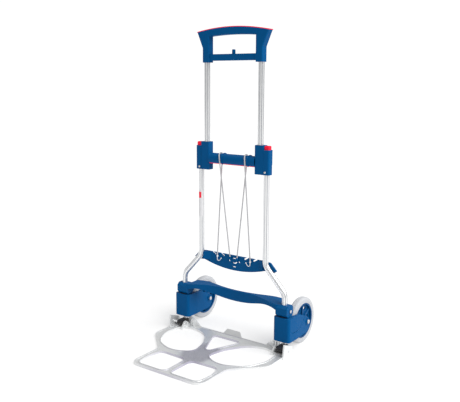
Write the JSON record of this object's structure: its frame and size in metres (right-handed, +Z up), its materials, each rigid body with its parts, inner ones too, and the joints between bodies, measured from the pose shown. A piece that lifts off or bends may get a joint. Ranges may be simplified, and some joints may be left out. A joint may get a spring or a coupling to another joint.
{
  "type": "hand truck",
  "caption": "Folding hand truck with a telescopic handle, fold-up cast toe plate, swivelling wheels and elastic load cords.",
  "frame": {"origin": "on the floor under the middle of the frame tubes, on the underside of the toe plate's rear bar", "axes": "+Z up along the tubes, +Y towards the wheels, +X across; the toe plate reaches out along -Y"},
  "size_m": [0.502, 0.5711, 1.1],
  "materials": {
    "blue_plastic": "fine grained moulding",
    "red_plastic": "satin moulding",
    "tube_aluminium": "anodised and fluted",
    "cast_aluminium": "blasted casting",
    "steel": "zinc plated",
    "black_plastic": "satin moulding",
    "tyre": "matt rubber",
    "cord": "braided elastic"
  },
  "bodies": {
    "frame": {"crossbar": "blue_plastic", "crossbar_strip": "red_plastic", "cord_board": "blue_plastic", "cord_anchors": "cord", "cross_brace": "blue_plastic", "collar_bolts": "steel", "block_screws": "steel", "board_screws": "steel", "fork_washers": "steel", "fork_retainers": "steel", "cord_left": "cord", "cord_right": "cord", "lower_tube_left": "tube_aluminium", "lower_tube_right": "tube_aluminium", "mid_block_left": "blue_plastic", "mid_block_right": "blue_plastic", "lock_housing_left": "blue_plastic", "lock_housing_right": "blue_plastic", "guide_bush_left": "black_plastic", "guide_bush_right": "black_plastic", "button_spring_left": "steel", "button_spring_right": "steel", "hinge_foot_left": "black_plastic", "hinge_foot_right": "black_plastic", "foot_pin_left": "steel", "foot_pin_right": "steel"},
    "handle": {"handle_frame": "blue_plastic", "handle_grip": "red_plastic", "handle_hook": "blue_plastic", "handle_screws": "steel", "upper_tube_left": "tube_aluminium", "upper_tube_right": "tube_aluminium", "tube_plug_left": "black_plastic", "tube_plug_right": "black_plastic"},
    "plate": {"toe_plate": "cast_aluminium", "hinge_pins": "steel"},
    "button_left": {"release_button_left": "red_plastic"},
    "pin_left": {"lock_pin_left": "steel"},
    "fork_left": {"wheel_fork_left": "blue_plastic", "axle_left": "steel", "axle_nut_left": "steel"},
    "wheel_left": {"rim_left": "blue_plastic", "tyre_left": "tyre", "wheel_bush_left": "black_plastic"},
    "button_right": {"release_button_right": "red_plastic"},
    "pin_right": {"lock_pin_right": "steel"},
    "fork_right": {"wheel_fork_right": "blue_plastic", "axle_right": "steel", "axle_nut_right": "steel"},
    "wheel_right": {"rim_right": "blue_plastic", "tyre_right": "tyre", "wheel_bush_right": "black_plastic"}
  },
  "joints": [
    {"name": "handle_slide", "type": "slide", "parent": "frame", "child": "handle", "axis": [0, 0, -1], "range_m": [0, 0.27]},
    {"name": "plate_fold", "type": "hinge", "parent": "frame", "child": "plate", "pos_m": [0, -0.026, 0.018], "axis": [-1, 0, 0], "range_deg": [0, 90]},
    {"name": "button_left_press", "type": "slide", "parent": "frame", "child": "button_left", "axis": [0, 0, -1], "range_m": [0, 0.006], "stiffness_N_per_m": 400, "deforming": ["button_spring_left"]},
    {"name": "pin_left_draw", "type": "slide", "parent": "frame", "child": "pin_left", "axis": [-1, 0, 0], "range_m": [0, 0.004]},
    {"name": "fork_left_swivel", "type": "hinge", "parent": "frame", "child": "fork_left", "pos_m": [-0.217, 0, 0.086], "axis": [0, 0, -1], "range_deg": [0, 75]},
    {"name": "wheel_left_spin", "type": "hinge", "parent": "fork_left", "child": "wheel_left", "pos_m": [-0.217, 0.1129, 0.0822], "axis": [1, 0, 0], "continuous": true},
    {"name": "button_right_press", "type": "slide", "parent": "frame", "child": "button_right", "axis": [0, 0, -1], "range_m": [0, 0.006], "stiffness_N_per_m": 400, "deforming": ["button_spring_right"]},
    {"name": "pin_right_draw", "type": "slide", "parent": "frame", "child": "pin_right", "axis": [1, 0, 0], "range_m": [0, 0.004]},
    {"name": "fork_right_swivel", "type": "hinge", "parent": "frame", "child": "fork_right", "pos_m": [0.217, 0, 0.086], "axis": [0, 0, 1], "range_deg": [0, 75]},
    {"name": "wheel_right_spin", "type": "hinge", "parent": "fork_right", "child": "wheel_right", "pos_m": [0.217, 0.1129, 0.0822], "axis": [1, 0, 0], "continuous": true}
  ],
  "couplings": [
    {"joint": "pin_left_draw", "follows": "button_left_press", "ratio": 0.66667},
    {"joint": "fork_left_swivel", "follows": "plate_fold", "ratio": 0.83333},
    {"joint": "pin_right_draw", "follows": "button_right_press", "ratio": 0.66667},
    {"joint": "fork_right_swivel", "follows": "plate_fold", "ratio": 0.83333}
  ]
}
